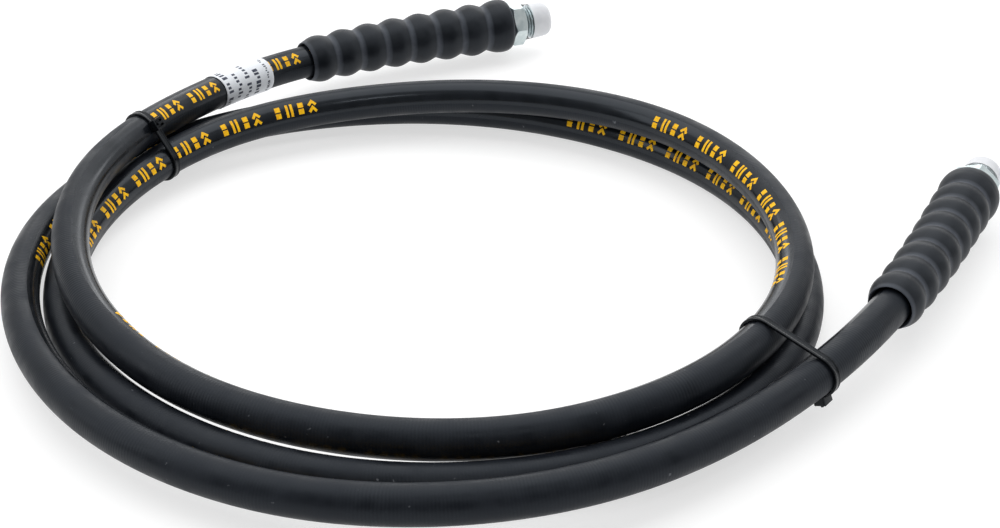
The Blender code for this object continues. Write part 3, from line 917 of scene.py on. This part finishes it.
def taut_band(centres, radius):
    """Points and outward normals of a band drawn tight round equal circles, closed, from the head."""
    middle = sum(centres) / len(centres)
    normals = []
    for here, there in zip(centres, centres[1:] + centres[:1]):
        run = unit(there - here)
        normal = np.array([run[1], -run[0]])
        normals.append(-normal if normal @ ((here + there) / 2 - middle) < 0 else normal)
    run = unit(centres[1] - centres[0])
    head = centres[0] + normals[0] * radius + run * 1.0 * MM
    band = [(head, normals[0])]
    count = len(centres)
    for i in range(1, count + 1):
        start = math.atan2(normals[i - 1][1], normals[i - 1][0])
        finish = math.atan2(normals[i % count][1], normals[i % count][0])
        sweep = (finish - start + math.pi) % (2 * math.pi) - math.pi
        steps = max(2, math.ceil(abs(sweep) / math.radians(6)))
        for step in range(steps + 1):
            turn = start + sweep * step / steps
            away = np.array([math.cos(turn), math.sin(turn)])
            band.append((centres[i % count] + away * radius, away))
    return band, head, run, normals[0]


def evenly(band, size):
    """More points on the straight runs."""
    finer_band = []
    for (p, n), (q, m) in zip(band, band[1:] + band[:1]):
        pieces = max(1, math.ceil(np.linalg.norm(q - p) / size))
        for i in range(pieces):
            t = i / pieces
            finer_band.append((p + (q - p) * t, unit(n + (m - n) * t)))
    return finer_band


def strap_section(tooth):
    """Rounded strip with two raised rails outside and a toothed channel inside, (side, lift) in mm."""
    low = 0.22 if tooth else 0.02
    return [
        (-1.60, 0.0), (-1.15, 0.0), (-1.05, low), (1.05, low), (1.15, 0.0), (1.60, 0.0),
        (1.75, 0.12), (1.75, 0.84), (1.62, 0.98), (1.15, 1.0), (1.0, 0.88), (-1.0, 0.88),
        (-1.15, 1.0), (-1.62, 0.98), (-1.75, 0.84), (-1.75, 0.12),
    ]


def cable_tie(name, angle, turned_by, strands, slack, paint):
    plane = tie_plane(angle, turned_by)
    anchor, level, normal = plane
    found = crossings(plane)
    centres = [found[i] for i in strands]
    band, head, run, away = taut_band(centres, HOSE_RADIUS + slack * MM)
    band = evenly(band, 0.55 * MM)

    def lift(flat, side=0.0):
        point = anchor + level * flat[0] + normal * side
        return Vector((point[0], point[1], flat[1]))

    rings = []
    for index, (spot, out) in enumerate(band):
        section = strap_section(index % 2 == 0)
        rings.append([lift(spot + out * h * MM, s * MM) for s, h in section])
    points = [p for ring in rings for p in ring]
    strap = link_mesh(name + "_strap", points, loft(rings, close_along=True), [paint])
    fix_normals(strap)
    auto_smooth(strap, 40)
    block = tie_head(name + "_head", paint)
    axes = Matrix((
        lift(run) - lift(np.zeros(2)),
        Vector(normal),
        lift(away) - lift(np.zeros(2)),
    )).transposed().to_4x4()
    block.data.transform(Matrix.Translation(lift(head)) @ axes)
    whole = joined(name + "_nylon", [strap, block])
    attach(whole, HOSE_BODY)
    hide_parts(name)


def tie_head(name, paint):
    """The locking head: a bevelled box with a slot, its tongue and the cut end of the strap."""
    shape = bmesh.new()

    def box(low, high, bevel):
        made = bmesh.ops.create_cube(shape, size=1.0)["verts"]
        for vertex in made:
            for axis in range(3):
                vertex.co[axis] = (low[axis] if vertex.co[axis] < 0 else high[axis]) * MM
        edges = list({edge for vertex in made for edge in vertex.link_edges})
        bmesh.ops.bevel(shape, geom=edges, offset=bevel * MM, segments=3, affect="EDGES", profile=0.6)

    box((-2.5, -2.7, 0.0), (-1.45, 2.7, 4.0), 0.36)
    box((1.45, -2.7, 0.0), (2.5, 2.7, 4.0), 0.36)
    box((-2.4, -2.7, 0.05), (2.4, -1.85, 3.95), 0.3)
    box((-2.4, 1.85, 0.05), (2.4, 2.7, 3.95), 0.3)
    box((-2.2, -2.0, 0.1), (2.2, 2.0, 2.9), 0.2)
    box((-0.5, -1.7, 2.6), (0.5, 1.7, 4.9), 0.16)
    box((-1.5, -1.1, 2.7), (-0.7, 1.1, 3.5), 0.2)
    mesh = bpy.data.meshes.new(name)
    shape.to_mesh(mesh)
    shape.free()
    mesh.materials.append(paint)
    mesh.shade_smooth()
    thing = bpy.data.objects.new(name, mesh)
    bpy.context.scene.collection.objects.link(thing)
    auto_smooth(thing, 32)
    return thing


# ---------------------------------------------------------------- the label

def label(paper, mark_ink):
    """A paper strip wound once round the hose and a little over itself."""
    rings = []
    steps, cuts = 33, 96
    for i in range(steps + 1):
        along = LABEL_LOW + (LABEL_HIGH - LABEL_LOW) * i / steps
        ring = []
        for j in range(cuts + 1):
            angle = LABEL_FIRST + LABEL_SWEEP * j / cuts
            rise = 0.42 if angle > LABEL_LAP else 0.30
            lift = rise + 0.06 * math.exp(-((angle - LABEL_LAP - 1) / 5) ** 2)
            ring.append(SURFACE.at(along, angle, HOSE_RADIUS + lift * MM, False))
        rings.append(ring)
    points = [p for ring in rings for p in ring]
    uvs = []
    for i in range(steps):
        for j in range(cuts):
            for a, b in ((i, j), (i, j + 1), (i + 1, j + 1), (i + 1, j)):
                uvs.append((a / steps * (LABEL_HIGH - LABEL_LOW), b / cuts * LABEL_ROUND))
    strip = link_mesh("label_strip", points, loft(rings, close_round=False), [paper], None, True, uvs)
    fix_outward_whole(strip)
    thick = strip.modifiers.new("paper", "SOLIDIFY")
    thick.thickness = 0.10 * MM
    thick.offset = -1.0
    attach(strip, HOSE_BODY)
    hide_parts("paper_label")
    label_print(mark_ink)


def label_print(mark_ink):
    """Rows of small bars of random lengths, which spell nothing."""
    vertices, faces = [], []
    rng = np.random.default_rng(7)
    # Each row: where it lies and how tall it is, in millimetres, and its first angle.
    rows = [(52.2, 3.2, -62.0), (45.6, 3.1, 22.0), (39.2, 3.1, -8.0), (32.8, 3.1, 34.0), (26.6, 1.5, -4.0)]
    for place, tall, first in rows:
        angle = first
        pitch = 14.0 if tall > 2 else 8.0
        while angle < 130:
            for _ in range(int(rng.integers(3, 8))):
                kind = int(rng.integers(0, 4))
                low_edge = place + (0.0 if kind != 1 else 0.35 * tall)
                high_edge = place + (tall if kind != 2 else 0.62 * tall)
                width = pitch * (0.58 if kind else 0.78)
                add_patch(vertices, faces, (low_edge, high_edge), (angle, angle + width))
                angle += pitch
            angle += pitch * 0.8
    marks = link_mesh("label_marks", vertices, faces, [mark_ink], None, True)
    fix_outward(marks)
    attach(marks, HOSE_BODY)


def add_patch(vertices, faces, spread, span):
    """One small printed bar on the label, bent round it."""
    cuts = 2
    for i in range(cuts):
        a = span[0] + (span[1] - span[0]) * i / cuts
        b = span[0] + (span[1] - span[0]) * (i + 1) / cuts
        base = len(vertices)
        for along, angle in ((spread[0], a), (spread[1], a), (spread[1], b), (spread[0], b)):
            vertices.append(SURFACE.at(along * MM, angle, HOSE_RADIUS + 0.325 * MM, False))
        faces.append((base, base + 1, base + 2, base + 3))


def fix_outward_whole(thing):
    """Turns an open sheet so that it faces away from the hose."""
    mesh = thing.data
    face = mesh.polygons[len(mesh.polygons) // 2]
    middle = np.array(face.center)
    nearest = SURFACE.path[np.argmin(np.linalg.norm(SURFACE.path - middle, axis=1))]
    if np.dot(np.array(face.normal), middle - nearest) < 0:
        mesh.flip_normals()


# ---------------------------------------------------------------- everything

def main():
    studio()
    paints = {
        "cover": cover_rubber(), "band": band_rubber(), "guard": guard_rubber(), "steel": zinc_steel(),
        "cap": [cap_plastic("cap_milky", False), cap_plastic("cap_clear", True)],
        "tie": tie_nylon(), "paper": label_paper(), "braid": braid_wire(), "inner": inner_rubber(),
        "yellow": ink("yellow_ink", (1.0, 0.58, 0.004), (0.86, 0.42, 0.003), 0.5),
        "grey": ink("label_ink", (0.030, 0.036, 0.060), (0.075, 0.085, 0.12), 0.5),
    }
    cover, path = hose(paints)
    fitting_b = fitting("fitting_b", END_B, paints["steel"])
    length = float(np.linalg.norm(np.diff(path, axis=0), axis=1).sum())
    tuple(float(v) for v in path[0])
    layline_print(paints["yellow"])
    fitting("fitting_a", END_A, paints["steel"])
    for letter, end in (("a", END_A), ("b", END_B)):
        ferrule("crimp_ferrule_" + letter, end, paints["steel"])
        bend_guard("bend_guard_" + letter, end, paints["guard"])
        thread_cap("thread_cap_" + letter, end, "cap_" + letter, paints["cap"])
    cable_tie("cable_tie_left", 147.3, -3.0, (0, 1, 2), 0.15, paints["tie"])
    cable_tie("cable_tie_right", 327.0, 4.0, (2, 1, 0), 0.15, paints["tie"])
    label(paints["paper"], paints["grey"])


main()
